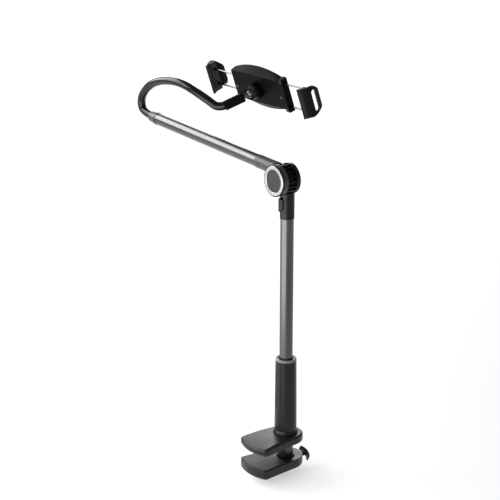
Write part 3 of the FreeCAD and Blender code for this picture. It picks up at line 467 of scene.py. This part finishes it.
def add_gooseneck():
    cover = smooth_tube("gooseneck_smooth", neck_route, neck_radius)
    cover.data.materials.append(black_neck)
    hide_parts("gooseneck_cover", "gooseneck_core")
    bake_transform(cover, "arm", "neck_tip", start=flex_start, end=flex_end)


# The two straight tubes, drawn rounder than the frame's nodes

def on_mast(height):
    """A point of the mast's axis, in metres."""
    return Vector((0, 0, height))


def on_arm(run):
    """A point of the arm's axis, from its run along that axis, in metres."""
    height = hinge_height + arm_offset / math.cos(arm_rise) + run * math.sin(arm_rise)
    return Vector((-run * math.cos(arm_rise), -arm_side, height))


def add_tube(node, start, end, radius, look):
    """A tube with a wall and eased ends between two points of its axis, in metres."""
    along = (end - start).normalized()
    side = along.orthogonal().normalized()
    across = along.cross(side)
    length = (end - start).length
    inner = radius - tube_wall
    profile = [(0.0, inner), (0.0, radius - tube_ease), (tube_ease, radius)]
    profile += [(length * step / tube_rings, radius) for step in range(1, tube_rings)]
    profile += [(length - tube_ease, radius), (length, radius - tube_ease), (length, inner)]
    shape = bmesh.new()
    sections = []
    for step in range(tube_sides):
        turn = 2 * math.pi * step / tube_sides
        out = side * math.cos(turn) + across * math.sin(turn)
        sections.append([shape.verts.new(start + along * run + out * reach) for run, reach in profile])
    bridge_round(shape, sections)
    piece = finish_mesh(shape, node + "_round", look, body_of(nodes[node])[0])
    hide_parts(node)


def add_tubes():
    add_tube("arm_tube", on_arm(arm_tube_start), on_arm(arm_tube_end), arm_tube_radius,
             arm_metal)
    add_tube("mast_tube", on_mast(mast_bottom), on_mast(mast_top), mast_radius,
             mast_metal)


# The jaws, their corners rounded off as in the photograph

def cut_away(shape, start, away):
    """Take off what lies beyond a plane, and close the cut."""
    geometry = shape.verts[:] + shape.edges[:] + shape.faces[:]
    cut = bmesh.ops.bisect_plane(
        shape, geom=geometry, dist=cut_tolerance, plane_co=start, plane_no=away, clear_outer=True)
    edges = [item for item in cut["geom_cut"] if isinstance(item, bmesh.types.BMEdge)]
    open_edges = [edge for edge in edges if edge.is_valid and edge.is_boundary]
    if open_edges:
        bmesh.ops.triangle_fill(shape, use_beauty=True, edges=open_edges, normal=away)


def cut_corners(node, name, look, body, inset):
    """A copy of a jaw or its lining without what stands out of the side outline."""
    shape = bmesh.new()
    shape.from_mesh(nodes[node].data)
    shape.transform(nodes[node].matrix_world)
    middle = in_holder(0, 0, jaw_middle)
    for corner in jaw_corners[body]:
        for (r, q), (next_r, next_q) in zip(corner, corner[1:]):
            start = in_holder(0, q, r)
            along = in_holder(0, next_q, next_r) - start
            away = along.cross(Vector((1, 0, 0))).normalized()
            if away.dot(start - middle) < 0:
                away = -away
            cut_away(shape, start - away * inset / 1000, away)
    piece = finish_mesh(shape, name, look, body)
    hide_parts(node)


def add_diamond(shape, sign, q, r):
    """One flat-topped diamond standing on the grip's face."""
    foot_p = sign * (grip_face + diamond_root)
    ledge_p = sign * (grip_face - diamond_height)
    foot = []
    ledge = []
    for along, across in ((0, 1), (1, 0), (0, -1), (-1, 0)):
        wide = across * diamond_width * diamond_share
        tall = along * diamond_pitch * diamond_share
        foot.append(shape.verts.new(in_holder(foot_p, q + tall, r + wide)))
        wide *= diamond_top_share
        tall *= diamond_top_share
        ledge.append(shape.verts.new(in_holder(ledge_p, q + tall, r + wide)))
    bridge(shape, foot, ledge)
    shape.faces.new(ledge)
    shape.faces.new(foot[::-1])


def add_grip(side):
    """The lining's flat part behind the rods' plane, with rows of raised diamonds on its face."""
    sign = 1 if side == "right" else -1
    lowest = grip_low[side]
    outline = [
        (grip_face, grip_back), (grip_face, lowest), (grip_deep, lowest),
        (grip_deep, grip_slope_end), (grip_mid, grip_back),
    ]
    stations = [
        (-grip_half_height, grip_ease), (-grip_half_height + grip_ease, 0.0),
        (grip_half_height - grip_ease, 0.0), (grip_half_height, grip_ease),
    ]
    shape = bmesh.new()
    sections = []
    for q, ease in stations:
        eased = [(p + ease if p == grip_face else p, r) for p, r in outline]
        sections.append([shape.verts.new(in_holder(sign * p, q, r)) for p, r in eased])
    for low, high in zip(sections, sections[1:]):
        bridge(shape, low, high)
    shape.faces.new(sections[0])
    shape.faces.new(sections[-1][::-1])
    columns = 2 * int((grip_back - lowest) // diamond_width) + 1
    for column in range(columns):
        r = grip_back - (column + 1) * diamond_width / 2
        if r - diamond_width / 2 < lowest:
            continue
        for row in range(-diamond_rows, diamond_rows + 1):
            if (row + column) % 2 == 0:
                add_diamond(shape, sign, row * diamond_pitch / 2, r)
    finish_mesh(shape, "jaw_grip_" + side, grip_rubber, "jaw_" + side)


def add_jaws():
    for side in ("left", "right"):
        body = "jaw_" + side
        cut_corners("jaw_" + side, "jaw_shell_" + side, black_jaw, body, 0.0)
        cut_corners("jaw_pad_" + side, "jaw_lining_" + side, pad_rubber, body, lining_inset)
        add_grip(side)


# Fine rings turned on the lock nut's cone

def add_nut_rings():
    shape = bmesh.new()
    for station in nut_ring_stations:
        radius = nut_cone_wide - (station - nut_cone_start) * nut_cone_slope
        sections = []
        for step in range(nut_ring_turns):
            turn = 2 * math.pi * step / nut_ring_turns
            sections.append([
                shape.verts.new(in_holder(
                    (radius + out) * math.cos(turn), (radius + out) * math.sin(turn), station + along))
                for along, out in nut_ring_section])
        bridge_round(shape, sections)
    finish_mesh(shape, "nut_rings", ring_black, body_of(nodes["lock_nut"])[0])


# Studio: pale floor, soft lights and the photograph's camera

def background_rays(s):
    """Light Path's mask for rays that show the background: from the camera, a gloss or a clear body."""
    path = s.node("ShaderNodeLightPath", {})
    seen = s.combine("MAXIMUM", path.outputs["Is Camera Ray"], path.outputs["Is Glossy Ray"])
    return s.combine("MAXIMUM", seen, path.outputs["Is Transmission Ray"])


def floor_glow(s):
    """How much the floor glows at each place: weakly in front of the object, most where no lamp reaches."""
    distance = s.node("ShaderNodeVectorMath", {0: s.place})
    distance.operation = "LENGTH"
    behind = s.node("ShaderNodeVectorMath", {0: s.place, 1: floor_away})
    behind.operation = "DOT_PRODUCT"
    near = s.ramp(behind.outputs["Value"], floor_front, floor_behind, floor_glow_front, floor_glow_near)
    forward = s.node("ShaderNodeSeparateXYZ", {0: s.place}).outputs["Y"]
    past_lamp = s.ramp(
        forward, floor_lamp_edge, floor_lamp_edge - floor_lamp_fade, floor_glow_edge, floor_glow_far)
    unlit = s.combine("LESS_THAN", forward, floor_lamp_edge)
    middle = s.combine("MAXIMUM", near, s.combine("MULTIPLY", past_lamp, unlit))
    return s.ramp(distance.outputs["Value"], floor_near, floor_far, middle, floor_glow_far)


def floor_look():
    """Matt and pale, with a glow that only the background's rays meet."""
    s = Shader("floor pale")
    s.feed(s.surface, {"Base Color": shade(floor_colour), "Roughness": 0.9, "Specular IOR Level": 0.0})
    strength = s.combine("MULTIPLY", background_rays(s), floor_glow(s))
    glow = s.node("ShaderNodeEmission", {"Strength": strength})
    both = s.node("ShaderNodeAddShader", {0: s.surface.outputs[0], 1: glow.outputs[0]})
    s.feed(s.tree.nodes["Material Output"], {"Surface": both.outputs[0]})
    return s.material


def add_floor():
    half = floor_size / 2
    mesh = bpy.data.meshes.new("floor")
    corners = [(-half, -half), (half, -half), (half, half), (-half, half)]
    mesh.from_pydata([(x, y, floor_height) for x, y in corners], [], [(0, 1, 2, 3)])
    mesh.materials.append(floor_look())
    floor = bpy.data.objects.new("floor", mesh)
    bpy.context.scene.collection.objects.link(floor)


def add_light(name, place, target, width, height, level):
    """A soft box, its size in metres, whose face at level 1 is as bright as white."""
    data = bpy.data.lights.new(name, "AREA")
    data.shape = "RECTANGLE"
    data.size = width
    data.size_y = height
    data.energy = level * math.pi * width * height
    light = bpy.data.objects.new(name, data)
    light.location = place
    aim = Vector(target) - Vector(place)
    light.rotation_euler = aim.to_track_quat("-Z", "Y").to_euler()
    light.visible_camera = False
    bpy.context.scene.collection.objects.link(light)


def add_lights():
    add_light("box_left", place=(-1.18, -0.56, 1.05), target=(-0.18, 0.0, 0.47),
              width=1.30, height=0.80, level=6.4)
    add_light("box_front", place=(0.0, -0.65, 0.37), target=(0.0, 0.0, 0.37),
              width=1.15, height=0.80, level=3.4)
    add_light("box_back", place=(-1.50, 1.10, 0.85), target=(0.0, 0.0, 0.20),
              width=1.30, height=1.20, level=3.2)


def add_world():
    world = bpy.data.worlds.new("studio")
    world.use_nodes = True
    background = world.node_tree.nodes["Background"]
    background.inputs["Color"].default_value = shade(1.0)
    background.inputs["Strength"].default_value = world_light
    bpy.context.scene.world = world


def add_camera():
    data = bpy.data.cameras.new("camera")
    data.lens = camera_lens
    data.sensor_width = camera_sensor
    data.clip_end = camera_reach
    camera = bpy.data.objects.new("camera", data)
    camera.location = camera_place
    camera.rotation_euler = camera_aim.to_track_quat("-Z", "Y").to_euler()
    bpy.context.scene.collection.objects.link(camera)
    bpy.context.scene.camera = camera


add_gooseneck()
add_tubes()
add_jaws()
add_nut_rings()
add_floor()
add_lights()
add_world()
add_camera()
bpy.context.scene.view_settings.view_transform = "Standard"
